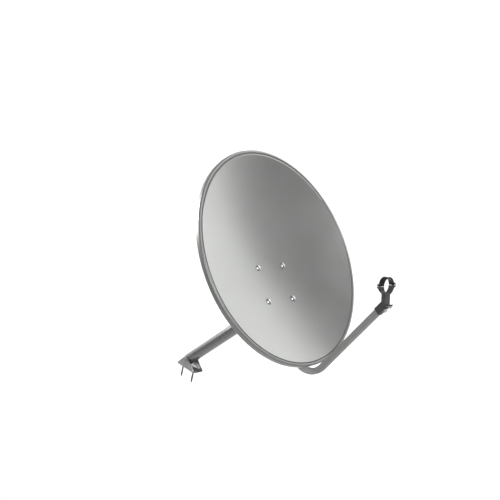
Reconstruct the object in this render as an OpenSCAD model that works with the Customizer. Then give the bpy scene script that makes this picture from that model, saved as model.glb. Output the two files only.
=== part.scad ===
// Offset satellite dish on a straight foot mast, with elevation bracket,
// rectangular feed arm and a split clamp for a 40 mm low-noise block.
// Millimetres. The origin is on the mounting face of the foot, midway
// between its two lag screws. +Z leaves that face and the dish faces -Y.

/* [Reflector] */
// Overall width of the reflector across its rim
dish_w = 600; // [580:10:620]
// Width of the rim outside the reflecting surface
rim_w = 12; // [10:1:14]
// Depth of the rolled rim
rim_depth = 16; // [14:1:18]
// Focal length of the parent paraboloid
focal_length = 345.3; // [335:0.1:355]
// Distance from the paraboloid's axis to the near edge of the reflector
clearance = 9.1; // [5:0.1:15]
// Sheet thickness of the reflector
sheet = 1.0; // [0.8:0.1:1.2]
// Spacing of the four reflector bolts, both ways
bolt_pitch = 103; // [101:1:105]
// Distance of the bolt pattern's centre below the rim centre
bolt_drop = 69; // [67:1:71]

/* [Mast] */
// Outer diameter of the mast tube
mast_d = 35; // [34.6:0.1:35]
// Wall thickness of the mast tube
mast_wall = 1.5; // [1.2:0.1:2]
// Distance from the foot pivot to the station of the elevation pivot
mast_reach = 383.4; // [370:0.1:400]
// Angle of the mast above the mounting face in the stored pose
mast_angle = 46.8; // [40:0.1:55]

/* [Elevation bracket] */
// Distance from the mast axis to the elevation pivot
pivot_offset = 45; // [44:0.5:47]
// Distance from the elevation pivot to the locking bolt
lock_radius = 34; // [33:0.5:35]
// Angle between the dish normal and the mast in the stored pose
fold_angle = 8.8; // [7:0.1:11]
// Travel of the dish towards upright, allowed by the slot
travel_up = 76; // [70:1:78]
// Travel of the dish past the stored pose, allowed by the slot
travel_down = 4; // [2:1:6]

/* [Foot] */
// Height of the foot pivot above the mounting face
foot_h = 32; // [31:1:34]
// Spacing of the two lag screws
lag_pitch = 50; // [48:1:52]
// Length of the lag screws below the mounting face
lag_len = 44; // [30:1:50]

/* [Feed arm] */
// Height of the arm tube in the plane of its bend
arm_h = 18.5; // [18:0.5:19]
// Width of the arm tube
arm_w = 13; // [12:0.5:13.5]
// Wall thickness of the arm tube
arm_wall = 1.5; // [1.2:0.1:1.8]
// Bend radius of the arm at mid-height
arm_bend_r = 69; // [68:0.5:70]

/* [Clamp ring] */
// Bore of the clamp ring
ring_bore = 40; // [40:0.1:40.4]
// Outer diameter of the clamp ring
ring_d = 47; // [46:0.5:48]
// Length of the clamp ring
ring_len = 16; // [15:1:18]

/* [View] */
// Which sub-part to draw, or all of them

/* [Hidden] */

$fn = 48;
eps = 0.01;

// colours
painted = [0.74, 0.74, 0.73];
zinc = [0.80, 0.80, 0.81];
steel_tube = [0.68, 0.68, 0.67];
plastic = [0.33, 0.33, 0.33];

// ---- paraboloid, in the rim frame: x across, y up in the rim plane, z out ----
R = dish_w / 2 - rim_w;
yc = R + clearance;
psi = atan(yc / (2 * focal_length));
zc = (yc * yc + R * R) / (4 * focal_length);
half_h = R / cos(psi);

// depth factor of aperture radius r
function sag(r) = (R * R - r * r) / (4 * focal_length);
// point of the reflecting surface at aperture radius r and angle a
function face_pt(r, a) = [r * sin(a), r * cos(a) / cos(psi) - sag(r) * sin(psi), -sag(r) * cos(psi)];
// height of the reflecting surface at rim-frame position x, y
function surf(x, y) = let (s = sin(psi), c = cos(psi), q = yc + y * c,
    b = 2 * s * q + 4 * focal_length * c,
    k = q * q + x * x - 4 * focal_length * (zc + y * s))
    (b - sqrt(b * b - 4 * s * s * k)) / (2 * s * s);
// tilt of the surface about x at rim-frame height y on the centre line
function surf_tilt(y) = let (s = sin(psi), c = cos(psi), p = yc + y * c - surf(0, y) * s)
    atan2(-2 * p * c + 4 * focal_length * s, 2 * p * s + 4 * focal_length * c);

// ---- stations along the chain of parts ----
t_ply = 3;                                  // bracket sheet
clamp_gap = 0.35;                           // clearance round the mast
cheek_x = 31;                               // inside of the mast bracket's cheeks
cheek_gap = 0.4;                            // gap between the two brackets' cheeks
outer_x = cheek_x + t_ply + cheek_gap;      // inside of the dish bracket's cheeks
dish_el = mast_angle - fold_angle;          // angle of the dish normal above the mounting face
tilt = surf_tilt(-bolt_drop);               // lean of the back bracket
// elevation pivot in the rim frame (y, z)
piv = [-171.3, -112];
// back bracket origin: on the reflector's back, at the centre of its bolts
seat = [0, -bolt_drop, surf(0, -bolt_drop) - sheet - 0.1];
// elevation pivot in the back bracket's frame (y, z)
piv_l = let (d = [piv[0] - seat[1], piv[1] - seat[2]])
    [d[0] * cos(tilt) - d[1] * sin(tilt), d[0] * sin(tilt) + d[1] * cos(tilt)];
// bracket plate, front and rear faces
plate_f = -0.3;
plate_b = plate_f - t_ply;
// direction of the mast seen from the back bracket's frame, from +z towards +y
mast_dir = fold_angle - tilt;

// ---- feed arm path in the rim frame (y, z) ----
arm_dir = 21.3;                             // front leg, from the rim normal
rear_dir = tilt;
arm_z = plate_b - 0.3 - arm_h / 2;          // mid-height of the rear leg behind the back bracket
bend_y = -273.57;
bend_c = [bend_y, (arm_z - (bend_y - arm_bend_r * sin(tilt) - seat[1]) * sin(tilt)) / cos(tilt) + seat[2] + arm_bend_r * cos(tilt)];
arm_len = 284;                              // front leg, from the bend to its end
arm_front = [bend_c[0] - arm_bend_r * cos(arm_dir), bend_c[1] + arm_bend_r * sin(arm_dir)];
arm_rear = [bend_c[0] - arm_bend_r * sin(rear_dir), bend_c[1] - arm_bend_r * cos(rear_dir)];
rear_len = 216;

// ---- clamp ring, in the rim frame ----
ring_c = [0, -188, 327];
ring_tilt = 23.3;                           // ring axis below the rim normal
lug_x = 28.5;                               // screws of the clamp
lug_w = 11;

// ================= frames =================
module mast_frame() translate([0, 0, foot_h]) rotate([90 - mast_angle, 0, 0]) children();
module pivot_frame() mast_frame() translate([0, -pivot_offset, mast_reach]) children();
module dish_frame() pivot_frame() rotate([mast_angle - dish_el, 0, 0]) translate([0, -piv[0], -piv[1]]) children();
module plate_frame() dish_frame() translate(seat) rotate([-tilt, 0, 0]) children();
module arm_end_frame() dish_frame() translate([0, arm_front[0], arm_front[1]]) rotate([-arm_dir, 0, 0]) translate([0, 0, arm_len]) children();
module ring_frame() dish_frame() translate(ring_c) rotate([ring_tilt, 0, 0]) children();

// ================= shared shapes =================
// outer tangent from circle a to circle b, each [x, y, r]
function tangent(a, b) = let (d = [b[0] - a[0], b[1] - a[1]], w = atan2(d[1], d[0]) - acos((a[2] - b[2]) / norm(d)),
    n = [cos(w), sin(w)]) [[a[0], a[1]] + a[2] * n, [b[0], b[1]] + b[2] * n];

// plate outline around circles listed anticlockwise, each [x, y, r]
module outline(c) {
    n = len(c);
    polygon([for (i = [0:n - 1]) each tangent(c[i], c[(i + 1) % n])]);
    for (p = c) translate([p[0], p[1]]) circle(r = p[2]);
}

// rectangle with round corners
module round_rect(w, h, r) {
    square([w - 2 * r, h], center = true);
    square([w, h - 2 * r], center = true);
    for (x = [-1, 1], y = [-1, 1]) translate([x * (w / 2 - r), y * (h / 2 - r)]) circle(r = r);
}

// extrude an outline drawn in (y, z) along x, from x0 to x1
module along_x(x0, x1) translate([x0, 0, 0]) rotate([90, 0, 90]) linear_extrude(x1 - x0) children();

module hex(af, h) cylinder(d = af / cos(30), h = h, $fn = 6);

// hexagon bolt along +z with its head below z = 0
module hex_bolt(d, l, af, hh) {
    translate([0, 0, -hh]) hex(af, hh);
    rotate_extrude() polygon([[0, -hh / 2], [d / 2, -hh / 2], [d / 2, l - 0.8], [d / 2 - 0.7, l], [0, l]]);
}

// 8 mm bolt with a fixed washer under its head, and the nut for it
module washer_bolt(l) translate([0, 0, -1.6]) {
    translate([0, 0, -5.3]) hex(13, 5.3);
    rotate_extrude() polygon([[0, -2.6], [3, -2.6], [3, 0], [8.5, 0], [8.5, 1.6], [4, 1.6], [4, l - 0.8], [3.3, l], [0, l]]);
}

module washer_nut() difference() {
    union() {
        cylinder(d = 17, h = 1.6);
        translate([0, 0, 1.2]) hex(13, 6.9);
    }
    translate([0, 0, -1]) cylinder(r = 4, h = 12);
}

module hex_nut(d, af, h) difference() {
    hex(af, h);
    translate([0, 0, -1]) cylinder(d = d, h = h + 2);
}

module washer(d_out, d_in, h) difference() {
    cylinder(d = d_out, h = h);
    translate([0, 0, -1]) cylinder(d = d_in, h = h + 2);
}

module both_x(x) for (s = [-1, 1]) translate([s * x, 0, 0]) children();

// ================= foot =================
foot_w = mast_d + 1 + 2 * 2.5;

module foot_bracket() color(zinc) difference() {
    intersection() {
        // folded U section
        rotate([90, 0, 0]) translate([0, 0, -60]) linear_extrude(120) difference() {
            union() {
                translate([-foot_w / 2, 7]) square([foot_w, 60]);
                translate([-foot_w / 2 + 7, 0]) square([foot_w - 14, 20]);
                for (s = [-1, 1]) translate([s * (foot_w / 2 - 7), 7]) circle(r = 7);
            }
            translate([-foot_w / 2 + 2.5, 7]) square([foot_w - 5, 70]);
            translate([-foot_w / 2 + 7, 2.5]) square([foot_w - 14, 20]);
            for (s = [-1, 1]) translate([s * (foot_w / 2 - 7), 7]) circle(r = 4.5);
        }
        along_x(-40, 40) outline([[-41, 5, 5], [29, 5, 5], [0, foot_h, 9.5]]);
    }
    translate([-40, 0, foot_h]) rotate([0, 90, 0]) cylinder(r = 4.15, h = 80);
    for (s = [-1, 1]) translate([0, s * lag_pitch / 2, -5]) cylinder(r = 3.3, h = 20);
}

module foot_lag_screws() color(zinc) for (s = [-1, 1]) translate([0, s * lag_pitch / 2, 0]) {
    translate([0, 0, 2.5 + 1.6]) hex(10, 4.2);
    // the shank is relieved where it passes through the base plate
    translate([0, 0, -2]) cylinder(r = 2.6, h = 6.2);
    translate([0, 0, -lag_len + 8]) cylinder(r = 3, h = lag_len - 8);
    translate([0, 0, -lag_len]) cylinder(r1 = 0.6, r2 = 3, h = 8 + eps);
}

module foot_washers() color(zinc) for (s = [-1, 1]) translate([0, s * lag_pitch / 2, 2.5]) washer(14, 6.6, 1.6);

module foot_pivot_bolt() color(zinc) translate([-foot_w / 2, 0, foot_h]) rotate([0, 90, 0]) {
    washer_bolt(foot_w + 14);
}

module foot_pivot_nut() color(zinc) translate([foot_w / 2, 0, foot_h]) rotate([0, 90, 0]) washer_nut();

// ================= mast =================
mast_low = -14;
mast_top = mast_reach + 12;

module mast_tube() color(steel_tube) mast_frame() difference() {
    translate([0, 0, mast_low]) cylinder(d = mast_d, h = mast_top - mast_low, $fn = 96);
    translate([0, 0, mast_low - 1]) cylinder(d = mast_d - 2 * mast_wall, h = mast_top - mast_low + 2, $fn = 96);
    translate([-30, 0, 0]) rotate([0, 90, 0]) cylinder(r = 4.06, h = 60);
}

module mast_cap() color(plastic) mast_frame() translate([0, 0, mast_top]) {
    rotate_extrude($fn = 96) union() {
        square([mast_d / 2 - 1.2, 2.6]);
        square([mast_d / 2, 1.4]);
        translate([mast_d / 2 - 1.2, 1.4]) circle(r = 1.2);
    }
    translate([0, 0, -14]) difference() {
        cylinder(d = mast_d - 2 * mast_wall - 0.4, h = 14 + eps, $fn = 96);
        translate([0, 0, -1]) cylinder(d = mast_d - 2 * mast_wall - 5, h = 14, $fn = 96);
    }
}

// ================= mast clamp =================
ub_r = mast_d / 2 + clamp_gap + 4;      // U-bolt wire centre
ub_z = [-20, -58];                      // U-bolts, from the elevation pivot
ply_f = -(mast_d / 2 + 1.5);            // plate face towards the mast
ply_b = ply_f - t_ply;

module mast_clamp_bracket() color(zinc) mast_frame() translate([0, 0, mast_reach]) difference() {
    intersection() {
        // folded U section, open away from the mast
        translate([0, 0, -90]) linear_extrude(120) difference() {
            union() {
                translate([-cheek_x - t_ply + 5, ply_b - 10]) square([2 * (cheek_x + t_ply) - 10, t_ply + 10]);
                translate([-cheek_x - t_ply, ply_b - 60]) square([2 * (cheek_x + t_ply), 60 + t_ply - 5]);
                both_x(cheek_x + t_ply - 5) translate([0, ply_f - 5]) circle(r = 5);
            }
            translate([-cheek_x + 2, ply_b - 70]) square([2 * cheek_x - 4, 70]);
            translate([-cheek_x, ply_b - 70]) square([2 * cheek_x, 68]);
            both_x(cheek_x - 2) translate([0, ply_b - 2]) circle(r = 2);
        }
        along_x(-50, 50) outline([[-pivot_offset, 0, 13], [-pivot_offset, -lock_radius, 13], [ply_f - 1, -76, 6], [ply_f - 1, 6, 6]]);
    }
    for (z = [0, -lock_radius]) translate([-50, -pivot_offset, z]) rotate([0, 90, 0]) cylinder(r = 4.15, h = 100);
    for (z = ub_z, s = [-1, 1]) translate([s * ub_r, ply_f + 5, z]) rotate([90, 0, 0]) cylinder(r = 4.4, h = 20);
}

module u_bolt_saddles() color(zinc) mast_frame() for (z = ub_z) translate([0, 0, mast_reach + z - 6]) difference() {
    translate([-16, ply_f, 0]) cube([32, 9, 12]);
    translate([0, 0, -1]) cylinder(r = mast_d / 2 + clamp_gap, h = 14, $fn = 96);
}

module u_bolts() color(zinc) mast_frame() for (z = ub_z) translate([0, 0, mast_reach + z]) {
    rotate_extrude(angle = 180, $fn = 96) translate([ub_r, 0]) circle(r = 4, $fn = 32);
    both_x(ub_r) rotate([90, 0, 0]) cylinder(r = 4, h = -ply_b + 14, $fn = 32);
}

module at_ub_nuts() mast_frame() for (z = ub_z, s = [-1, 1]) translate([s * ub_r, ply_b, mast_reach + z]) rotate([90, 0, 0]) children();
module u_bolt_washers() color(zinc) at_ub_nuts() washer(15.6, 8.4, 1.6);
module u_bolt_nuts() color(zinc) at_ub_nuts() translate([0, 0, 1.6]) hex_nut(8, 13, 6.5);

// bolts across both brackets
cross_x = outer_x + t_ply + 0.1;
module across(z) pivot_frame() translate([-cross_x, 0, z]) rotate([0, 90, 0]) children();
module across_nut(z) pivot_frame() translate([cross_x, 0, z]) rotate([0, 90, 0]) children();

module elevation_bolt() color(zinc) across(0) washer_bolt(2 * cross_x + 14);
module elevation_nut() color(zinc) across_nut(0) washer_nut();
module lock_bolt() color(zinc) across(-lock_radius) washer_bolt(2 * cross_x + 14);
module lock_nut() color(zinc) across_nut(-lock_radius) washer_nut();

// ================= reflector =================
seg = 84;
face_r = [for (f = [0.1, 0.22, 0.34, 0.46, 0.58, 0.7, 0.8, 0.9, 1]) f * R];
// rim profile: outward distance and height, upper side and lower side
rim_top = [[1.2, -1.6], [3.2, -1.6], [4.4, 0.6], [rim_w - 2.2, 0.6], [rim_w - 0.7, 0], [rim_w, -1.6], [rim_w, -rim_depth + 2.5], [rim_w - 1.2, -rim_depth + 0.4], [rim_w - 3.4, -rim_depth]];
rim_low = [[0.4, -1.6 - sheet], [4.0, -1.6 - sheet], [5.1, 0.6 - sheet], [rim_w - 2.6, 0.6 - sheet], [rim_w - 1.4, -0.7], [rim_w - sheet, -1.9], [rim_w - sheet, -rim_depth + 2.2], [rim_w - 1.8, -rim_depth + 1.3], [rim_w - 3.6, -rim_depth + sheet]];

function rim_ring(p) = [for (i = [0:seg - 1]) let (a = 360 * i / seg) [(R + p[0]) * sin(a), (half_h + p[0]) * cos(a), p[1]]];
function face_ring(r, down) = [for (i = [0:seg - 1]) let (q = face_pt(r, 360 * i / seg)) [q[0], q[1], q[2] - down]];
front_rings = concat([for (r = face_r) face_ring(r, 0)], [for (p = rim_top) rim_ring(p)]);
back_rings = concat([for (r = face_r) face_ring(r, sheet)], [for (p = rim_low) rim_ring(p)]);

module reflector_shell() {
    nr = len(front_rings);
    all_rings = concat(front_rings, [for (i = [nr - 1:-1:0]) back_rings[i]]);
    n = len(all_rings);
    c0 = face_pt(0, 0);
    pts = concat([for (r = all_rings) each r], [c0, [c0[0], c0[1], c0[2] - sheet]]);
    top = n * seg;
    faces = concat(
        [for (i = [0:seg - 1]) [top, i, (i + 1) % seg]],
        [for (k = [0:n - 2], i = [0:seg - 1]) [k * seg + i, (k + 1) * seg + i, k * seg + (i + 1) % seg]],
        [for (k = [0:n - 2], i = [0:seg - 1]) [k * seg + (i + 1) % seg, (k + 1) * seg + i, (k + 1) * seg + (i + 1) % seg]],
        [for (i = [0:seg - 1]) [top + 1, (n - 1) * seg + (i + 1) % seg, (n - 1) * seg + i]]);
    polyhedron(points = pts, faces = faces, convexity = 6);
}

bolt_xy = [for (x = [-1, 1], y = [-1, 1]) [x * bolt_pitch / 2, y * bolt_pitch / 2]];
// height of the reflecting surface over the back bracket's frame, at its x, y
function lift(x, y) = let (yy = seat[1] + y * cos(tilt), z0 = seat[2] - y * sin(tilt)) (surf(x, yy) - z0) / cos(tilt);
// highest and lowest surface under a disc of radius r at x, y
function disc_hi(x, y, r) = max([for (a = [0:30:330]) lift(x + r * cos(a), y + r * sin(a))]);
function disc_lo(x, y, r) = min([for (a = [0:30:330]) lift(x + r * cos(a), y + r * sin(a))]);

module at_bolts() plate_frame() for (p = bolt_xy) translate([p[0], p[1], 0]) children();

module reflector() color(painted) difference() {
    dish_frame() reflector_shell();
    at_bolts() translate([0, 0, -10]) cylinder(r = 4.4, h = 30);
}

head_r = 9.75;
head_h = 4.3;
module reflector_bolts() color(zinc) plate_frame() for (p = bolt_xy) {
    z0 = disc_hi(p[0], p[1], head_r) + 0.1;
    rs = (head_r * head_r + head_h * head_h) / (2 * head_h);
    translate([p[0], p[1], z0]) rotate_extrude() intersection() {
        translate([0, head_h - rs]) circle(r = rs, $fn = 96);
        square([head_r + 1, head_h + 1]);
    }
    translate([p[0], p[1], plate_b - 14]) cylinder(r = 4, h = z0 - plate_b + 14 + 0.5);
}

module reflector_washers() color(zinc) plate_frame() for (p = bolt_xy) translate([p[0], p[1], plate_b - 1.6]) washer(17, 8.4, 1.6);
module reflector_nuts() color(zinc) plate_frame() for (p = bolt_xy) translate([p[0], p[1], plate_b - 1.6 - 6.5]) hex_nut(8, 13, 6.5);

// ================= back bracket =================
lug_t = 2.5;
arm_bolt_y = [-12, -48];

module slot_2d(a0, a1, r) {
    difference() {
        circle(r = lock_radius + r, $fn = 96);
        circle(r = lock_radius - r, $fn = 96);
        polygon(concat([[0, 0]], [for (k = [0:6]) let (a = a1 + (360 - (a1 - a0)) * k / 6) 90 * [cos(a), sin(a)]]));
    }
    for (a = [a0, a1]) translate(lock_radius * [cos(a), sin(a)]) circle(r = r);
}

module back_bracket() color(painted) plate_frame() difference() {
    union() {
        translate([0, 0, plate_b]) linear_extrude(t_ply) round_rect(bolt_pitch + 26, bolt_pitch + 26, 10);
        for (p = bolt_xy) translate([p[0], p[1], plate_f - eps])
            cylinder(r1 = 13, r2 = 10, h = disc_lo(p[0], p[1], 10) - sheet / cos(tilt) - 0.15 - plate_f);
        // cheeks
        for (s = [0, 1]) mirror([s, 0, 0]) along_x(outer_x, outer_x + t_ply) {
            outline([[-52, plate_b - 8, 8], [piv_l[0], piv_l[1], lock_radius + 13], [44, plate_b - 8, 8]]);
            translate([-60, plate_b - 8]) square([112, 8 + eps]);
        }
        // lugs that hold the arm
        for (s = [0, 1]) mirror([s, 0, 0]) along_x(arm_w / 2 + 0.2, arm_w / 2 + 0.2 + lug_t) {
            translate([-61, plate_b - arm_h + 3]) square([62, arm_h - 3 + eps]);
            translate([-57, plate_b - arm_h - 1]) square([54, 5]);
            for (y = [-57, -3]) translate([y, plate_b - arm_h + 3]) circle(r = 4);
        }
    }
    translate([-60, piv_l[0], piv_l[1]]) rotate([0, 90, 0]) cylinder(r = 4.06, h = 120);
    // slot for the locking bolt; angles are measured from +y towards +z
    translate([0, piv_l[0], piv_l[1]]) along_x(-60, 60)
        slot_2d(270 - mast_dir - travel_up - 0.6, 270 - mast_dir + travel_down + 0.6, 4.25);
    for (y = arm_bolt_y) translate([-20, y, arm_z]) rotate([0, 90, 0]) cylinder(r = 3.15, h = 40);
    for (p = bolt_xy) translate([p[0], p[1], -10]) cylinder(r = 4.4, h = 30);
}

// ================= feed arm =================
// section of the tube's wall, with both its faces drawn in by inset
module arm_section(inset) difference() {
    round_rect(arm_w - 2 * inset, arm_h - 2 * inset, 2 - inset);
    round_rect(arm_w - 2 * arm_wall + 2 * inset, arm_h - 2 * arm_wall + 2 * inset, 0.5 + inset);
}
leg_in = 0.02;      // the legs' ends sit inside the bend's wall by this much
leg_lap = 1;        // and run into it this far

module feed_arm() color(painted) difference() {
    union() {
        // front leg
        dish_frame() translate([0, arm_front[0], arm_front[1]]) rotate([-arm_dir, 0, 0])
            translate([0, 0, -leg_lap]) linear_extrude(arm_len + leg_lap) arm_section(leg_in);
        // bend, swept from the front leg round to the rear leg
        dish_frame() translate([0, bend_c[0], bend_c[1]]) rotate([0, 90, 0]) rotate([0, 0, -90 - arm_dir])
            rotate_extrude(angle = 90 + arm_dir - rear_dir, $fn = 128) translate([arm_bend_r, 0]) rotate(90) arm_section(0);
        // rear leg
        dish_frame() translate([0, arm_rear[0], arm_rear[1]]) rotate([-90 - rear_dir, 0, 0])
            translate([0, 0, -leg_lap]) linear_extrude(rear_len + leg_lap) arm_section(leg_in);
    }
    plate_frame() for (y = arm_bolt_y) translate([-20, y, arm_z]) rotate([0, 90, 0]) cylinder(r = 3.15, h = 40);
    arm_end_frame() translate([0, 0, screw_z]) rotate([90, 0, 0]) cylinder(r = 3.1, h = 20);
}

module arm_plug() color(plastic) dish_frame() translate([0, arm_rear[0], arm_rear[1]]) rotate([-90 - rear_dir, 0, 0]) translate([0, 0, rear_len]) {
    linear_extrude(2) round_rect(arm_w, arm_h, 2);
    translate([0, 0, -10]) linear_extrude(10 + eps) round_rect(arm_w - 2 * arm_wall - 0.4, arm_h - 2 * arm_wall - 0.4, 1);
}

arm_bolt_x = arm_w / 2 + 0.2 + lug_t;
module arm_bolts() color(zinc) plate_frame() for (y = arm_bolt_y) translate([-arm_bolt_x, y, arm_z]) rotate([0, 90, 0]) hex_bolt(6, 2 * arm_bolt_x + 8, 10, 4);
module arm_nuts() color(zinc) plate_frame() for (y = arm_bolt_y) translate([arm_bolt_x, y, arm_z]) rotate([0, 90, 0]) hex_nut(6, 10, 5);

// ================= clamp for the low-noise block =================
split = 0.5;            // half the gap between the two ring halves
nut_r = 2.06;           // captive nut, a running fit on its screw

module half_ring(up) difference() {
    union() {
        translate([0, 0, -ring_len / 2]) cylinder(d = ring_d, h = ring_len, $fn = 96);
        both_x(lug_x - 1) translate([-5.5, up ? 0 : -5.5, -5.5]) cube([lug_w, 5.5, lug_w]);
        both_x(22) translate([-3, up ? 0 : -5.5, -5.5]) cube([6, 5.5, lug_w]);
    }
    translate([0, 0, -ring_len / 2 - 1]) cylinder(d = ring_bore, h = ring_len + 2, $fn = 96);
    translate([-50, up ? -60 + split : -split, -30]) cube([100, 60, 60]);
    both_x(lug_x) translate([0, 10, 0]) rotate([90, 0, 0]) cylinder(r = 2.2, h = 20);
}

neck_w = 22;
neck_d = 13.5;
socket_len = 34;
socket_wall = 2.4;
screw_z = -4.5;          // screw under the arm, from the arm's end
clamp_bolt_z = 12;       // bolt under the lip, in front of the ring's middle
neck_low = 52;          // lower end of the neck, from the ring centre

module lnb_holder() color(plastic) difference() {
    union() {
        ring_frame() {
            half_ring(false);
            // neck
            translate([0, -ring_bore / 2 - 1, -0.75]) rotate([90, 0, 0]) linear_extrude(neck_low - ring_bore / 2 - 1) round_rect(neck_w, neck_d, 1.5);
            // lip that carries the clamp bolt
            translate([0, -neck_low + 4.5, 5]) rotate([90, 0, 0]) linear_extrude(4.5) round_rect(neck_w - 3, 25, 3);
        }
        // socket over the end of the arm
        arm_end_frame() translate([0, 0, -socket_len + 8]) linear_extrude(socket_len) round_rect(arm_w + 2 * socket_wall, arm_h + 2 * socket_wall, 4);
    }
    ring_frame() {
        translate([0, 0, -ring_len / 2 - 1]) cylinder(d = ring_bore, h = ring_len + 2, $fn = 96);
        translate([0, -neck_low - 1, clamp_bolt_z]) rotate([-90, 0, 0]) cylinder(r = 3.05, h = 20);
        // room for the washer and the bolt's head
        translate([0, -neck_low, clamp_bolt_z]) rotate([90, 0, 0]) cylinder(r = 8.9, h = 24);
    }
    arm_end_frame() {
        translate([0, 0, -socket_len]) linear_extrude(socket_len + 0.2) round_rect(arm_w + 0.3, arm_h + 0.3, 2);
        translate([0, 0, screw_z]) rotate([90, 0, 0]) cylinder(r = 3.1, h = 20);
    }
}

// screw from below through the socket and the arm's lower wall
module holder_screw() color(zinc) arm_end_frame() translate([0, -arm_h / 2 - socket_wall, screw_z]) rotate([-90, 0, 0]) hex_bolt(6, 12, 10, 5);

// bolt under the lip, with a wide washer
module holder_clamp_bolt() color(zinc) ring_frame() translate([0, -neck_low - 1.8, clamp_bolt_z]) rotate([-90, 0, 0]) hex_bolt(6, 6, 10, 4);
module holder_washer() color(zinc) ring_frame() translate([0, -neck_low - 1.8, clamp_bolt_z]) rotate([-90, 0, 0]) washer(17, 6.2, 1.8);

module lnb_clamp_cap() color(plastic) ring_frame() half_ring(true);

module clamp_screws() color(zinc) ring_frame() both_x(lug_x) translate([0, 5.5, 0]) rotate([90, 0, 0]) {
    translate([0, 0, -2.4]) cylinder(r = 3.6, h = 2.4 + eps);
    cylinder(r = 2, h = 18);
}

module clamp_nuts() color(zinc) ring_frame() both_x(lug_x) translate([0, -5.5, 0]) rotate([90, 0, 0]) hex_nut(2 * nut_r, 7, 3.2);

// ================= drawing =================
foot_bracket();
foot_lag_screws();
foot_washers();
foot_pivot_bolt();
foot_pivot_nut();
mast_tube();
mast_cap();
mast_clamp_bracket();
u_bolt_saddles();
u_bolts();
u_bolt_washers();
u_bolt_nuts();
elevation_bolt();
elevation_nut();
lock_bolt();
lock_nut();
reflector();
reflector_bolts();
reflector_washers();
reflector_nuts();
back_bracket();
feed_arm();
arm_plug();
arm_bolts();
arm_nuts();
lnb_holder();
holder_screw();
holder_clamp_bolt();
holder_washer();
lnb_clamp_cap();
clamp_screws();
clamp_nuts();
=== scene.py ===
import math

import bmesh
import bpy
import numpy as np
from mathutils import Matrix, Vector


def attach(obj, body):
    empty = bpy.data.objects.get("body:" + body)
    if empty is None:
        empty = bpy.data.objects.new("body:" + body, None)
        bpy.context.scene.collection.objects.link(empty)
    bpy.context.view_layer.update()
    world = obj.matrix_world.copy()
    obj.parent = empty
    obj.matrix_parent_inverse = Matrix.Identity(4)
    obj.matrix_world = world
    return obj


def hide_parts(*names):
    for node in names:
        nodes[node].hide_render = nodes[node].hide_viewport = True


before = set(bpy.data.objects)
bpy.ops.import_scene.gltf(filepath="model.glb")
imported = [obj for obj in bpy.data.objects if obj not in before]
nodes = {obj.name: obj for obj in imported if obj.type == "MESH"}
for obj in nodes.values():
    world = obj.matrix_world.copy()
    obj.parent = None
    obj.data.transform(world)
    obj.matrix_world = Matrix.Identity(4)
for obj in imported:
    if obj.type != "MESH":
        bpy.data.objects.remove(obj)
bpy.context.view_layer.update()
MM = 0.001


# ------------------------------------------------------------------ frames
def T(x, y, z):
    return Matrix.Translation((x * MM, y * MM, z * MM))


def RX(a):
    return Matrix.Rotation(math.radians(a), 4, "X")


def RY(a):
    return Matrix.Rotation(math.radians(a), 4, "Y")


def RZ(a):
    return Matrix.Rotation(math.radians(a), 4, "Z")


# the same driving sizes as the CAD, in millimetres and degrees
DISH_W, RIM_W, RIM_D = 600.0, 12.0, 16.0
F, CLEAR, SHEET = 345.3, 9.1, 1.0
PITCH, DROP = 103.0, 69.0
MAST_D, MAST_WALL, REACH, MAST_A = 35.0, 1.5, 383.4, 46.8
P_OFF, LOCK_R, FOLD = 45.0, 34.0, 8.8
FOOT_H, LAG_PITCH, LAG_LEN = 32.0, 50.0, 44.0
ARM_H, ARM_W, BEND_R = 18.5, 13.0, 69.0
R = DISH_W / 2 - RIM_W
YC = R + CLEAR
PSI = math.atan(YC / (2 * F))
ZC = (YC * YC + R * R) / (4 * F)
HALF_H = R / math.cos(PSI)
PIV2 = (-171.3, -112.0)
FOOT_W = MAST_D + 1 + 5


def surf(x, y):
    s, c = math.sin(PSI), math.cos(PSI)
    q = YC + y * c
    b = 2 * s * q + 4 * F * c
    k = q * q + x * x - 4 * F * (ZC + y * s)
    return (b - math.sqrt(b * b - 4 * s * s * k)) / (2 * s * s)


def surf_tilt(y):
    s, c = math.sin(PSI), math.cos(PSI)
    p = YC + y * c - surf(0, y) * s
    return math.degrees(math.atan2(-2 * p * c + 4 * F * s, 2 * p * s + 4 * F * c))


TILT = surf_tilt(-DROP)
SEAT = (0.0, -DROP, surf(0, -DROP) - SHEET - 0.1)
PLATE_F = -0.3
PLATE_B = PLATE_F - 3.0
ARM_Z = PLATE_B - 0.3 - ARM_H / 2
ARM_DIR = 21.3
ARM_LEN = 284.0
REAR_LEN = 216.0
ct, st = math.cos(math.radians(TILT)), math.sin(math.radians(TILT))
BY = -273.57
BZ = (ARM_Z - (BY - BEND_R * st - SEAT[1]) * st) / ct + SEAT[2] + BEND_R * ct
ca, sa = math.cos(math.radians(ARM_DIR)), math.sin(math.radians(ARM_DIR))
A_FRONT = (BY - BEND_R * ca, BZ + BEND_R * sa)
A_REAR = (BY - BEND_R * st, BZ - BEND_R * ct)

MAST = T(0, 0, FOOT_H) @ RX(90 - MAST_A)
CLAMP = MAST @ T(0, 0, REACH)
PIVOT = MAST @ T(0, -P_OFF, REACH)
DISH = PIVOT @ RX(FOLD) @ T(0, -PIV2[0], -PIV2[1])
PLATE = DISH @ T(*SEAT) @ RX(-TILT)
ARM_END = DISH @ T(0, *A_FRONT) @ RX(-ARM_DIR) @ T(0, 0, ARM_LEN)
RING = DISH @ T(0, -188, 327) @ RX(23.3)


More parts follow.
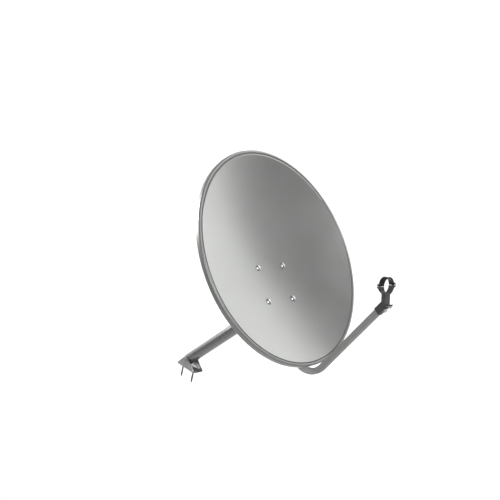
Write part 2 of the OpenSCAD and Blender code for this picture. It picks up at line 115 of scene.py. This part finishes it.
# ------------------------------------------------------------------ mesh helpers
def make(name, verts, faces, matrix, body, mat, replaces=(), smooth_angle=35.0):
    """A mesh in local millimetres, placed by matrix in the row frame."""
    me = bpy.data.meshes.new(name)
    v = np.asarray(verts, float) * MM
    m = np.array(matrix)
    v = v @ m[:3, :3].T + m[:3, 3]
    me.from_pydata([tuple(p) for p in v], [], [tuple(int(i) for i in f) for f in faces])
    me.validate()
    bm = bmesh.new()
    bm.from_mesh(me)
    bmesh.ops.recalc_face_normals(bm, faces=bm.faces)
    bm.to_mesh(me)
    bm.free()
    ob = bpy.data.objects.new(name, me)
    bpy.context.scene.collection.objects.link(ob)
    me.materials.append(mat)
    shade(ob, smooth_angle)
    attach(ob, body)
    if replaces:
        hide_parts(*replaces)
    return ob


def shade(ob, angle):
    me = ob.data
    for p in me.polygons:
        p.use_smooth = True
    me.set_sharp_from_angle(angle=math.radians(angle))


class Mesh:
    """Collects several solids into one vertex and face list."""

    def __init__(self):
        self.v, self.f, self.n = [], [], 0

    def add(self, v, f, matrix=None):
        v = np.asarray(v, float)
        if matrix is not None:
            m = np.array(matrix, float)
            t = m[:3, 3] / MM
            v = v @ m[:3, :3].T + t
        self.v.append(v)
        self.f += [tuple(i + self.n for i in face) for face in f]
        self.n += len(v)
        return self

    def verts(self):
        return np.vstack(self.v)


def grid_faces(rows, cols, base=0, closed=True):
    out = []
    last = cols if closed else cols - 1
    for r in range(rows - 1):
        for c in range(last):
            d = (c + 1) % cols
            out.append((base + r * cols + c, base + r * cols + d, base + (r + 1) * cols + d, base + (r + 1) * cols + c))
    return out


def lathe(profile, seg=64):
    """Solid of revolution about z from (r, z) points; ends on the axis are closed with a fan."""
    pts, faces = [], []
    for r, z in profile:
        for i in range(seg):
            a = 2 * math.pi * i / seg
            pts.append((r * math.cos(a), r * math.sin(a), z))
    faces = grid_faces(len(profile), seg)
    faces.append(tuple(range(seg))[::-1])
    faces.append(tuple((len(profile) - 1) * seg + i for i in range(seg)))
    return pts, faces


def lathe_ring(profile, seg=64):
    """Closed ring of revolution: the (r, z) profile is a loop."""
    pts = []
    for r, z in profile:
        for i in range(seg):
            a = 2 * math.pi * i / seg
            pts.append((r * math.cos(a), r * math.sin(a), z))
    n = len(profile)
    faces = grid_faces(n, seg)
    for c in range(seg):
        d = (c + 1) % seg
        faces.append(((n - 1) * seg + c, (n - 1) * seg + d, d, c))
    return pts, faces


def arc(cx, cz, r, a0, a1, n):
    return [(cx + r * math.cos(math.radians(a0 + (a1 - a0) * i / n)), cz + r * math.sin(math.radians(a0 + (a1 - a0) * i / n))) for i in range(n + 1)]


def hex_rings(af, z0, z1, chamfer_top=True, chamfer_low=False, seg=72, crown=0.0):
    """Rings of a hexagon with round chamfers, from z0 up to z1."""
    c = af / 2 * 0.96
    rho = []
    for i in range(seg):
        a = math.degrees(2 * math.pi * i / seg) % 60
        rho.append(af / 2 / math.cos(math.radians(a - 30)))
    k = math.tan(math.radians(28))
    rings = []

    def ring(fr, fz):
        return [(fr(i) * math.cos(2 * math.pi * i / seg), fr(i) * math.sin(2 * math.pi * i / seg), fz(i)) for i in range(seg)]

    if chamfer_low:
        rings.append(ring(lambda i: c * 0.94, lambda i: z0))
        rings.append(ring(lambda i: c, lambda i: z0 + 0.02))
        rings.append(ring(lambda i: rho[i], lambda i: z0 + max(0.05, (rho[i] - c) * k)))
    else:
        rings.append(ring(lambda i: rho[i], lambda i: z0))
    if chamfer_top:
        rings.append(ring(lambda i: rho[i], lambda i: z1 - max(0.05, (rho[i] - c) * k)))
        rings.append(ring(lambda i: c, lambda i: z1 - 0.02))
        rings.append(ring(lambda i: c * 0.94, lambda i: z1 + crown))
    else:
        rings.append(ring(lambda i: rho[i], lambda i: z1))
    return rings


def skin(rings, close_low=True, close_top=True):
    seg = len(rings[0])
    pts = [p for r in rings for p in r]
    faces = grid_faces(len(rings), seg)
    if close_low:
        faces.append(tuple(range(seg))[::-1])
    if close_top:
        faces.append(tuple((len(rings) - 1) * seg + i for i in range(seg)))
    return pts, faces


def thread(r, pitch, z0, z1, depth=None, seg=28, per=6, sharp=1.0, taper_tip=0.0):
    """Threaded shank from z0 to z1 along +z, a real helix."""
    depth = pitch * 0.54 if depth is None else depth
    n = max(4, int((z1 - z0) / pitch * per))
    rings = []
    for k in range(n + 1):
        z = z0 + (z1 - z0) * k / n
        ring = []
        fade = min(1.0, (z - z0) / (1.0 * pitch), (z1 - z) / (0.7 * pitch) + 0.05)
        fade = max(0.0, fade)
        for i in range(seg):
            a = 2 * math.pi * i / seg
            ph = (z / pitch - i / seg) % 1.0
            tri = abs(2 * ph - 1) ** sharp
            rr = r - depth * (1 - tri) * max(fade, 0.15)
            if taper_tip and z > z1 - taper_tip:
                t = (z1 - z) / taper_tip
                rr *= max(0.12, t) ** 0.75
            ring.append((rr * math.cos(a), rr * math.sin(a), z))
        rings.append(ring)
    return rings


def circle_ring(r, z, seg=28):
    return [(r * math.cos(2 * math.pi * i / seg), r * math.sin(2 * math.pi * i / seg), z) for i in range(seg)]


def bolt(mesh, d, length, af, head, matrix, thread_len, pitch, washer=None):
    """Hexagon bolt along +z with its head below z = 0; washer is (outer diameter, thickness)."""
    w = washer[1] if washer else 0.0
    mesh.add(*skin(hex_rings(af, -head - w + (0.0), -w, chamfer_top=False, chamfer_low=True)), matrix)
    # the plain shank under the head, then the thread
    r = d / 2
    plain = length - w - thread_len
    rings = [circle_ring(r, -w - 0.5), circle_ring(r, plain - 0.8)]
    th = thread(r, pitch, plain, length - w - 0.8, seg=28)
    rings += th
    rings += [circle_ring(r - 0.75, length - w)]
    mesh.add(*skin(rings), matrix)
    if washer:
        wash(mesh, washer[0], d + 0.1, washer[1], matrix @ T(0, 0, -w))
    return mesh


def wash(mesh, d_out, d_in, h, matrix, seg=64):
    b = 0.25
    ro, ri = d_out / 2, d_in / 2
    prof = [(ri, 0.1), (ri + 0.1, 0), (ro - b, 0), (ro, b), (ro, h - b), (ro - b * 0.4, h - b * 0.25), (ro - b, h), (ri + 0.1, h), (ri, h - 0.1)]
    mesh.add(*lathe_ring(prof, seg), matrix)
    return mesh


def nut(mesh, d, af, h, matrix, seg=72):
    rings = hex_rings(af, 0, h, True, True, seg)
    ri = d / 2
    c = af / 2 * 0.96
    inner = [
        [(x * (ri + 0.7) / (c * 0.94), y * (ri + 0.7) / (c * 0.94), z) for x, y, z in rings[-1]],
    ]
    low = [[(x * (ri + 0.7) / (c * 0.94), y * (ri + 0.7) / (c * 0.94), z) for x, y, z in rings[0]]]
    wall = [circle_ring(ri + 0.02, h - 0.7, seg), circle_ring(ri + 0.02, 0.7, seg)]
    loop = rings + inner + wall + low
    pts = [p for r in loop for p in r]
    n = len(loop)
    faces = grid_faces(n, seg)
    for c2 in range(seg):
        e = (c2 + 1) % seg
        faces.append(((n - 1) * seg + c2, (n - 1) * seg + e, e, c2))
    mesh.add(pts, faces, matrix)
    return mesh


def round_rect(w, h, r, n=5):
    pts = []
    for cx, cy, a0 in ((w / 2 - r, h / 2 - r, 0), (-w / 2 + r, h / 2 - r, 90), (-w / 2 + r, -h / 2 + r, 180), (w / 2 - r, -h / 2 + r, 270)):
        for i in range(n + 1):
            a = math.radians(a0 + 90 * i / n)
            pts.append((cx + r * math.cos(a), cy + r * math.sin(a)))
    return pts


# ------------------------------------------------------------------ materials
def nodes_of(name):
    m = bpy.data.materials.new(name)
    m.use_nodes = True
    nt = m.node_tree
    return m, nt, nt.nodes["Principled BSDF"]


def noise(nt, coord, scale, detail=4.0, rough=0.5, distortion=0.0):
    n = nt.nodes.new("ShaderNodeTexNoise")
    n.inputs["Scale"].default_value = scale
    n.inputs["Detail"].default_value = detail
    n.inputs["Roughness"].default_value = rough
    n.inputs["Distortion"].default_value = distortion
    nt.links.new(coord, n.inputs["Vector"])
    return n.outputs["Fac"]


def ramp(nt, fac, stops):
    r = nt.nodes.new("ShaderNodeValToRGB")
    while len(r.color_ramp.elements) < len(stops):
        r.color_ramp.elements.new(0.5)
    for e, (p, c) in zip(r.color_ramp.elements, stops):
        e.position = p
        e.color = (*c, 1) if len(c) == 3 else c
    nt.links.new(fac, r.inputs["Fac"])
    return r.outputs["Color"]


def remap(nt, fac, a, b, lo=0.3, hi=0.7):
    m = nt.nodes.new("ShaderNodeMapRange")
    m.inputs["From Min"].default_value = lo
    m.inputs["From Max"].default_value = hi
    m.inputs["To Min"].default_value = a
    m.inputs["To Max"].default_value = b
    nt.links.new(fac, m.inputs["Value"])
    return m.outputs["Result"]


def bump(nt, height, strength, distance, normal=None):
    b = nt.nodes.new("ShaderNodeBump")
    b.inputs["Strength"].default_value = strength
    b.inputs["Distance"].default_value = distance
    nt.links.new(height, b.inputs["Height"])
    if normal is not None:
        nt.links.new(normal, b.inputs["Normal"])
    return b.outputs["Normal"]


def coords(nt, rot=None, scale=(1, 1, 1)):
    t = nt.nodes.new("ShaderNodeTexCoord")
    m = nt.nodes.new("ShaderNodeMapping")
    m.vector_type = "TEXTURE" if rot is not None else "POINT"
    if rot is not None:
        m.inputs["Rotation"].default_value = [math.radians(a) for a in rot]
    m.inputs["Scale"].default_value = scale
    nt.links.new(t.outputs["Object"], m.inputs["Vector"])
    return m.outputs["Vector"]


def grey(v, tint=(1, 1, 1)):
    return tuple(v * t for t in tint)


def paint(name, value, rough, metallic, tint=(1.0, 1.0, 0.985), peel=0.5, spec=0.5, coat=0.15):
    m, nt, b = nodes_of(name)
    c = coords(nt)
    big = noise(nt, c, 6, 3, 0.55)
    fine = noise(nt, c, 900, 2, 0.5)
    mix = nt.nodes.new("ShaderNodeMath")
    mix.operation = "MULTIPLY_ADD"
    nt.links.new(fine, mix.inputs[0])
    mix.inputs[1].default_value = 0.35
    nt.links.new(big, mix.inputs[2])
    col = ramp(nt, mix.outputs[0], [(0.35, grey(value * 0.955, tint)), (0.62, grey(value, tint)), (0.85, grey(value * 1.04, tint))])
    nt.links.new(col, b.inputs["Base Color"])
    nt.links.new(remap(nt, big, rough * 0.9, rough * 1.1), b.inputs["Roughness"])
    b.inputs["Metallic"].default_value = metallic
    n1 = bump(nt, noise(nt, c, 260, 2, 0.45), 0.10 * peel, 0.0006)
    n2 = bump(nt, noise(nt, c, 1500, 1, 0.5), 0.08 * peel, 0.0002, n1)
    nt.links.new(n2, b.inputs["Normal"])
    b.inputs["Specular IOR Level"].default_value = spec
    b.inputs["Coat Weight"].default_value = coat
    b.inputs["Coat Roughness"].default_value = 0.25
    return m


def zinc(name, value, rough, tint=(1.0, 1.0, 1.01), streak=None, metallic=1.0, spangle=0.35, spec=0.5):
    m, nt, b = nodes_of(name)
    c = coords(nt)
    v = nt.nodes.new("ShaderNodeTexVoronoi")
    v.inputs["Scale"].default_value = 160
    v.inputs["Randomness"].default_value = 1.0
    nt.links.new(c, v.inputs["Vector"])
    cloud = noise(nt, c, 45, 5, 0.6)
    mixf = nt.nodes.new("ShaderNodeMix")
    mixf.data_type = "FLOAT"
    mixf.inputs["Factor"].default_value = spangle
    if streak is not None:
        # drawn tube: fine lines along its length
        lines = noise(nt, coords(nt, streak, (0.0011, 0.0011, 0.22)), 1.0, 4, 0.6)
        nt.links.new(lines, mixf.inputs[2])
    else:
        nt.links.new(cloud, mixf.inputs[2])
    sep = nt.nodes.new("ShaderNodeSeparateColor")
    nt.links.new(v.outputs["Color"], sep.inputs["Color"])
    nt.links.new(sep.outputs["Red"], mixf.inputs[3])
    fac = mixf.outputs[0]
    col = ramp(nt, fac, [(0.2, grey(value * 0.86, tint)), (0.5, grey(value, tint)), (0.8, grey(min(1.0, value * 1.1), tint))])
    nt.links.new(col, b.inputs["Base Color"])
    nt.links.new(remap(nt, fac, rough * 0.85, rough * 1.2, 0.2, 0.8), b.inputs["Roughness"])
    b.inputs["Metallic"].default_value = metallic
    b.inputs["Specular IOR Level"].default_value = spec
    normal = bump(nt, noise(nt, c, 600, 3, 0.6), 0.12 if streak is None else 0.04, 0.0003)
    if streak is not None:
        cs = coords(nt, streak, (0.004, 0.004, 0.35))
        normal = bump(nt, noise(nt, cs, 1.0, 3, 0.6), 0.10, 0.0004, normal)
    nt.links.new(normal, b.inputs["Normal"])
    return m


def plastic(name, value, rough=0.3, grain=0.10):
    m, nt, b = nodes_of(name)
    c = coords(nt)
    cloud = noise(nt, c, 60, 4, 0.6)
    col = ramp(nt, cloud, [(0.3, grey(value * 0.88)), (0.55, grey(value)), (0.8, grey(value * 1.12))])
    nt.links.new(col, b.inputs["Base Color"])
    nt.links.new(remap(nt, cloud, rough * 0.85, rough * 1.2), b.inputs["Roughness"])
    b.inputs["Specular IOR Level"].default_value = 0.65
    n1 = bump(nt, noise(nt, c, 1400, 3, 0.65), grain, 0.00015)
    n2 = bump(nt, noise(nt, c, 120, 2, 0.5), 0.05, 0.0005, n1)
    nt.links.new(n2, b.inputs["Normal"])
    return m


M_DISH = paint("reflector_paint", 0.392, 0.36, 0.66, tint=(0.985, 1.0, 0.978))
M_BRACKET = paint("bracket_paint", 0.40, 0.38, 0.5)
M_ARM = paint("arm_paint", 0.50, 0.5, 0.0, spec=0.2, coat=0.0)
M_ZINC = zinc("bracket_zinc", 0.62, 0.42)
M_MAST = zinc("mast_zinc", 0.33, 0.26, streak=(90 - MAST_A, 0, 0), metallic=0.85, spangle=0.06)
M_BOLT = zinc("fastener_zinc", 0.64, 0.27)
M_LAG = zinc("lag_zinc", 0.24, 0.5, metallic=0.0, spec=0.12)
# washer_zinc is a near-white copy of the fastener zinc: its bright base colour is a painted highlight on the holder's
# washer and screw
M_ZINC_PAINTED_HIGHLIGHT = zinc("washer_zinc", 0.92, 0.48)
M_BLACK = zinc("fastener_black", 0.06, 0.34)
# holder_plastic and ring_plastic are one plastic; the holder's lighter base colour is painted reflection, standing in
# for the bright surroundings the neck's front face reflects
M_PLASTIC_PAINTED_REFLECTION = plastic("holder_plastic", 0.115, 0.20)
M_RING = plastic("ring_plastic", 0.022, 0.16)
M_CAP = plastic("cap_plastic", 0.03, 0.4, 0.2)


# ------------------------------------------------------------------ reflector
def plate_local(p):
    """Rim-frame millimetres to the back bracket's frame."""
    d = p - np.array(SEAT)
    return np.stack([d[:, 0], d[:, 1] * ct - d[:, 2] * st, d[:, 1] * st + d[:, 2] * ct], 1)


def plate_world(q):
    """The back bracket's frame to rim-frame millimetres."""
    return np.stack([q[:, 0], q[:, 1] * ct + q[:, 2] * st, -q[:, 1] * st + q[:, 2] * ct], 1) + np.array(SEAT)


def lift(x, y):
    yy, z0 = SEAT[1] + y * ct, SEAT[2] - y * st
    return (surf(x, yy) - z0) / ct


def disc(x, y, r, pick):
    return pick(lift(x + r * math.cos(math.radians(a)), y + r * math.sin(math.radians(a))) for a in range(0, 360, 30))


BOLTS = [(sx * PITCH / 2, sy * PITCH / 2) for sx in (-1, 1) for sy in (-1, 1)]
HEAD_R, HEAD_H = 9.75, 4.3


def reflector():
    seg = 336
    ang = np.arange(seg) * 2 * math.pi / seg
    radii = np.concatenate([np.linspace(1.5, 40, 10)[:-1], np.linspace(40, 130, 31)[:-1], np.linspace(130, R, 40)])

    def face(down):
        rings = []
        for r in radii:
            sag = (R * R - r * r) / (4 * F)
            x = r * np.sin(ang)
            y = r * np.cos(ang) / math.cos(PSI) - sag * math.sin(PSI)
            z = np.full(seg, -sag * math.cos(PSI) - down)
            p = np.stack([x, y, z], 1)
            rings.append(p)
        return rings

    # rim profile outside the face edge: (outward, height), rounded
    top = [(0.25, -0.15), (0.6, -1.2), (1.0, -2.3), (1.6, -3.0), (2.5, -3.1), (3.1, -2.4), (3.6, -1.2), (4.1, -0.2), (4.8, 0.35), (5.8, 0.6), (7.2, 0.6), (8.6, 0.52)]
    top += arc(RIM_W - 3.2, -2.62, 3.2, 88, 0, 8)
    top += [(RIM_W, -5.5), (RIM_W, -9.5), (RIM_W, -RIM_D + 2.6)]
    top += arc(RIM_W - 2.4, -RIM_D + 2.4, 2.4, 0, -90, 6)[1:]
    top += [(RIM_W - 3.4, -RIM_D), (RIM_W - 4.2, -RIM_D + 0.35)]
    low = []
    for i, (o, h) in enumerate(top):
        a = np.array(top[max(0, i - 1)])
        b = np.array(top[min(len(top) - 1, i + 1)])
        d = (b - a) / np.linalg.norm(b - a)
        nrm = np.array([d[1], -d[0]])  # to the inside of the sheet
        low.append((o + nrm[0] * SHEET * 0.95, h + nrm[1] * SHEET * 0.95))

    def rim(p):
        return np.stack([(R + p[0]) * np.sin(ang), (HALF_H + p[0]) * np.cos(ang), np.full(seg, p[1])], 1)

    front = face(0.0) + [rim(p) for p in top]
    back = face(SHEET) + [rim(p) for p in low]
    rings = front + back[::-1]
    pts = np.vstack(rings)
    n = len(rings)
    faces = grid_faces(n, seg)
    faces.append(tuple(range(seg)))
    faces.append(tuple((n - 1) * seg + i for i in range(seg)))
    ob = make("dish_reflector", pts, faces, DISH, "dish", M_DISH, ["reflector"], 50)
    return ob


reflector()


def carriage_bolts():
    m = Mesh()
    for bx, by in BOLTS:
        z0 = disc(bx, by, HEAD_R, lambda g: sum(g) / 12) + 0.15
        rs = (HEAD_R**2 + HEAD_H**2) / (2 * HEAD_H)
        a0 = math.degrees(math.asin(HEAD_R / rs))
        prof = [(0.0001, z0 + HEAD_H)]
        prof = []
        for i in range(15):
            a = math.radians(a0 * (1 - i / 14.0))
            prof.append((max(0.02, rs * math.sin(a)), z0 + HEAD_H - rs + rs * math.cos(a)))
        prof[0] = (HEAD_R, z0 + 0.25)
        prof.insert(0, (HEAD_R, z0 - 1.0))
        prof.insert(0, (HEAD_R - 0.4, z0 - 1.1))
        m.add(*lathe(prof, 56), T(bx, by, 0))
        rings = [circle_ring(3.9, z0 + 0.5), circle_ring(3.9, PLATE_B + 1)]
        rings += [r for r in [[(x, y, -z) for x, y, z in ring] for ring in thread(4, 1.25, -(PLATE_B), -(PLATE_B - 13.2))]]
        rings += [circle_ring(3.2, PLATE_B - 14)]
        m.add(*skin(rings), T(bx, by, 0))
    make("carriage_bolts", m.verts(), m.f, PLATE, "dish", M_BOLT, ["reflector_bolts"])
    w, n = Mesh(), Mesh()
    for i, (bx, by) in enumerate(BOLTS):
        wash(w, 17, 8.4, 1.6, T(bx, by, PLATE_B - 1.6))
        nut(n, 8, 13, 6.5, T(bx, by, PLATE_B - 8.1))
    make("bolt_washers", w.verts(), w.f, PLATE, "dish", M_BOLT, ["reflector_washers"])
    make("bolt_nuts", n.verts(), n.f, PLATE, "dish", M_BOLT, ["reflector_nuts"])


carriage_bolts()


# ------------------------------------------------------------------ feed arm
def feed_arm():
    sec = round_rect(ARM_W, ARM_H, 2.3, 6)
    path = []  # (y, z, direction angle from +z towards +y)
    for t in np.linspace(REAR_LEN, 0, 12)[:-1]:
        path.append((A_REAR[0] + t * ct, A_REAR[1] - t * st, None))
    k = 44
    # the bend runs from the rear tangent round to the front one
    a_rear = math.atan2(A_REAR[1] - BZ, A_REAR[0] - BY)
    a_front = math.atan2(A_FRONT[1] - BZ, A_FRONT[0] - BY) - 2 * math.pi
    for i in range(k + 1):
        a = a_rear + (a_front - a_rear) * i / k
        path.append((BY + BEND_R * math.cos(a), BZ + BEND_R * math.sin(a), a))
    for t in np.linspace(0, ARM_LEN, 14)[1:]:
        path.append((A_FRONT[0] + t * sa, A_FRONT[1] + t * ca, None))
    rings = []
    for i, (y, z, a) in enumerate(path):
        if a is not None:
            nrm = (math.cos(a), math.sin(a))
        elif i < 11:
            nrm = (-st, -ct)
        else:
            nrm = (-ca, sa)
        rings.append([(px, y - nrm[0] * py, z - nrm[1] * py) for px, py in sec])
    pts, faces = skin(rings)
    make("feed_arm_tube", pts, faces, DISH, "dish", M_ARM, ["feed_arm"], 40)


feed_arm()


# ------------------------------------------------------------------ fasteners
def fasteners():
    # foot: two lag screws with a coarse thread, and their washers
    m = Mesh()
    for s in (-1, 1):
        base = T(0, s * LAG_PITCH / 2, 2.5 + 1.6)
        m.add(*skin(hex_rings(10, 0, 4.2, True, False)), base)
        rings = [circle_ring(3, 4.1 + 0.4), circle_ring(3.0, -3.4)]
        th = thread(3.0, 2.3, 4.0, LAG_LEN, depth=0.35, seg=32, per=9, sharp=0.75, taper_tip=7.0)
        rings += [[(x, -y, -z) for x, y, z in r] for r in th]
        rings += [circle_ring(0.25, -LAG_LEN)]
        fixed = []
        for r in rings:
            fixed.append(r if len(r) == 32 else None)
        rings = [[(x, -y, z) for x, y, z in circle_ring(rr, zz, 32)] for rr, zz in ((2.6, 4.5), (2.6, 0.0), (3.0, -0.4), (3.0, -3.4))] + [r for r in fixed[2:-1]] + [[(x, -y, z) for x, y, z in circle_ring(0.3, -LAG_LEN, 32)]]
        m.add(*skin(rings), T(0, s * LAG_PITCH / 2, 0))
    make("lag_screws", m.verts(), m.f, Matrix.Identity(4), "foot", M_LAG, ["foot_lag_screws"])
    m = Mesh()
    for s in (-1, 1):
        wash(m, 14, 6.6, 1.6, T(0, s * LAG_PITCH / 2, 2.5))
    make("lag_washers", m.verts(), m.f, Matrix.Identity(4), "foot", M_BOLT, ["foot_washers"])

    # the three long cross bolts, each with a washer under its head, and their nuts
    def cross(name, cad_bolt, cad_nut, body, x, base, length):
        b = Mesh()
        bolt(b, 8, length, 13, 5.3, base @ T(-x, 0, 0) @ RY(90), 24, 1.25, (17, 1.6))
        make(name, b.verts(), b.f, Matrix.Identity(4), body, M_BOLT, [cad_bolt])
        c = Mesh()
        wash(c, 17, 8.05, 1.6, base @ T(x, 0, 0) @ RY(90))
        nut(c, 8, 13, 6.5, base @ T(x + 1.6, 0, 0) @ RY(90))
        make(name + "_nut", c.verts(), c.f, Matrix.Identity(4), body, M_BOLT, [cad_nut])

    cx = 31 + 3 + 0.4 + 3 + 0.1
    cross("pivot_bolt", "foot_pivot_bolt", "foot_pivot_nut", "foot", FOOT_W / 2, T(0, 0, FOOT_H), FOOT_W + 14)
    cross("elevation_pivot", "elevation_bolt", "elevation_nut", "mast_clamp", cx, PIVOT, 2 * cx + 14)
    cross("elevation_lock", "lock_bolt", "lock_nut", "mast_clamp", cx, PIVOT @ T(0, 0, -LOCK_R), 2 * cx + 14)

    # arm bolts
    ax = ARM_W / 2 + 0.2 + 2.5
    b, n = Mesh(), Mesh()
    for y in (-12, -48):
        bolt(b, 6, 2 * ax + 8, 10, 4, T(-ax, y, ARM_Z) @ RY(90), 10, 1.0)
        nut(n, 6, 10, 5, T(ax, y, ARM_Z) @ RY(90))
    make("arm_fixing_bolts", b.verts(), b.f, PLATE, "dish", M_BOLT, ["arm_bolts"])
    make("arm_fixing_nuts", n.verts(), n.f, PLATE, "dish", M_BOLT, ["arm_nuts"])

    # U-bolts
    ubr = MAST_D / 2 + 0.35 + 4
    ply_b = -(MAST_D / 2 + 1.5) - 3
    m, w, n = Mesh(), Mesh(), Mesh()
    for z in (-20, -58):
        end = -ply_b + 14
        rings = []
        sec = 28
        th = thread(4, 1.25, end - 24, end - 0.6, seg=sec)
        # up the right leg, round the bend and down the left leg
        right = [[(ubr + x, -zz, z + y) for x, y, zz in r] for r in th[::-1]]
        left = [[(-ubr - x, -zz, z + y) for x, y, zz in r] for r in th]
        tip = [(3.2 * math.cos(2 * math.pi * i / sec), 3.2 * math.sin(2 * math.pi * i / sec)) for i in range(sec)]
        rings.append([(ubr + x, -end, z + y) for x, y in tip])
        rings += right
        for i in range(25):
            a = math.pi * i / 24
            rings.append([((ubr + 4 * math.cos(2 * math.pi * j / sec)) * math.cos(a), (ubr + 4 * math.cos(2 * math.pi * j / sec)) * math.sin(a), z + 4 * math.sin(2 * math.pi * j / sec)) for j in range(sec)])
        rings += left
        rings.append([(-ubr - x, -end, z + y) for x, y in tip])
        m.add(*skin(rings), None)
        for s in (-1, 1):
            base = T(s * ubr, ply_b, z) @ RX(90)
            wash(w, 15.6, 8.4, 1.6, base)
            nut(n, 8, 13, 6.5, base @ T(0, 0, 1.6))
    make("mast_u_bolts", m.verts(), m.f, CLAMP, "mast_clamp", M_BOLT, ["u_bolts"])
    make("mast_u_bolt_washers", w.verts(), w.f, CLAMP, "mast_clamp", M_BOLT, ["u_bolt_washers"])
    make("mast_u_bolt_nuts", n.verts(), n.f, CLAMP, "mast_clamp", M_BOLT, ["u_bolt_nuts"])


fasteners()


# ------------------------------------------------------------------ CAD nodes that stay
def keep(name, mat, bevel=0.5, angle=35.0):
    o = nodes[name]
    o.data.materials.clear()
    o.data.materials.append(mat)
    for p in o.data.polygons:
        p.material_index = 0
    if bevel:
        w = o.modifiers.new("weld", "WELD")
        w.merge_threshold = 0.000005
        b = o.modifiers.new("bevel", "BEVEL")
        b.width = bevel * MM
        b.segments = 3
        b.limit_method = "ANGLE"
        b.angle_limit = math.radians(angle)
        b.harden_normals = False
        b.use_clamp_overlap = True
    for p in o.data.polygons:
        p.use_smooth = True
    s = o.modifiers.new("smooth", "WEIGHTED_NORMAL")
    s.keep_sharp = True
    s.weight = 80


keep("foot_bracket", M_ZINC, 0.5)
keep("mast_tube", M_MAST, 0.3)
keep("mast_cap", M_CAP, 0.0)
keep("mast_clamp_bracket", M_ZINC, 0.5)
keep("u_bolt_saddles", M_ZINC, 0.4)
keep("back_bracket", M_BRACKET, 0.5)
keep("arm_plug", M_CAP, 0.4)
# the holder's lighter plastic carries painted reflection in its base colour
keep("lnb_holder", M_PLASTIC_PAINTED_REFLECTION, 0.8)
keep("lnb_clamp_cap", M_RING, 0.5)
# the holder's screw and washer carry a painted highlight in their near-white base colour
keep("holder_screw", M_ZINC_PAINTED_HIGHLIGHT, 0.3)
keep("holder_clamp_bolt", M_BOLT, 0.3)
keep("holder_washer", M_ZINC_PAINTED_HIGHLIGHT, 0.2)
keep("clamp_screws", M_BLACK, 0.3)
keep("clamp_nuts", M_BLACK, 0.2)

# ------------------------------------------------------------------ floor, light and camera
ZF, RF, RC, HW = -2.3, 6.0, 2.6, 3.2
prof = [(0.02, ZF), (1.5, ZF), (3.0, ZF), (RF, ZF)]
prof += [(RF + RC * math.sin(math.radians(a)), ZF + RC - RC * math.cos(math.radians(a))) for a in range(6, 91, 6)]
prof += [(RF + RC, HW)]
pts = [(r * math.cos(2 * math.pi * i / 96), r * math.sin(2 * math.pi * i / 96) - 0.3, z) for r, z in prof for i in range(96)]
me = bpy.data.meshes.new("floor")
me.from_pydata(pts, [], grid_faces(len(prof), 96) + [tuple(range(96))])
for poly in me.polygons:
    poly.use_smooth = True
floor = bpy.data.objects.new("floor", me)
bpy.context.scene.collection.objects.link(floor)
m, nt, b = nodes_of("floor_white")
c = coords(nt)
nt.links.new(ramp(nt, noise(nt, c, 0.8, 2), [(0.3, (0.71, 0.71, 0.71)), (0.7, (0.73, 0.73, 0.73))]), b.inputs["Base Color"])
b.inputs["Roughness"].default_value = 0.95
me.materials.append(m)

scene = bpy.context.scene
world = bpy.data.worlds.new("studio")
scene.world = world
world.use_nodes = True
bg = world.node_tree.nodes["Background"]
bg.inputs["Color"].default_value = (1, 1, 1, 1)
bg.inputs["Strength"].default_value = 0.24

scene.view_settings.view_transform = "Standard"
scene.view_settings.look = "None"

target = DISH @ Vector((0, -60 * MM, 60 * MM))
DR = DISH.to_3x3()


def area(name, at, towards, size, energy, size_y=None):
    """A softbox at a place, facing another, in the row frame in metres."""
    data = bpy.data.lights.new(name, "AREA")
    data.shape = "RECTANGLE" if size_y else "SQUARE"
    data.size = size
    if size_y:
        data.size_y = size_y
    data.energy = energy
    ob = bpy.data.objects.new(name, data)
    bpy.context.scene.collection.objects.link(ob)
    ob.location = at
    ob.rotation_mode = "QUATERNION"
    ob.rotation_quaternion = (Vector(towards) - Vector(at)).to_track_quat("-Z", "Y")
    return ob


def softbox(name, direction, distance, size, energy, size_y=None):
    at = target + Vector(direction).normalized() * distance
    return area(name, at, target, size, energy, size_y)


softbox("key", (0.95, 0.13, 0.38), 2.8, 3.0, 56)
softbox("overhead", (-0.1, -0.78, 0.62), 3.0, 1.1, 27)
softbox("fill", (-0.85, -0.45, 0.35), 3.4, 1.5, 14)
softbox("back", (-0.36, 0.93, 0.06), 2.4, 0.7, 24)
# two softboxes light the sweep behind the object
away = Vector((0.73, 0.68, 0))
side = Vector((0.68, -0.73, 0))
for i, k in enumerate((-1.8, 1.8)):
    at = target + away * 4.4 + side * k
    at.z = 2.3
    to = target + away * 6.6 + side * k * 1.2
    to.z = -1.8
    area("sweep_%d" % i, at, to, 2.4, 218)

cam_data = bpy.data.cameras.new("camera")
cam = bpy.data.objects.new("camera", cam_data)
scene.collection.objects.link(cam)
scene.camera = cam
cam_data.sensor_width = 36
CAM_K, CAM_D = 0.3483, 2700.0
CX, CY = 281.62, 255.38
cam_data.lens = CAM_K * CAM_D / 500 * 36
right = DR @ Vector((0.70740, -0.25400, 0.65960))
up = DR @ Vector((0.05178, 0.94931, 0.31003))
back = right.cross(up).normalized()
centre = DISH @ Vector((0, 0, 0))
x0, y0 = (CX - 250) / CAM_K, -(CY - 250) / CAM_K
loc = centre + (-x0 * right - y0 * up + CAM_D * back) * MM
rot = Matrix((right, up, back)).transposed()
cam.matrix_world = Matrix.Translation(loc) @ rot.to_4x4()
cam_data.clip_start, cam_data.clip_end = 0.05, 200
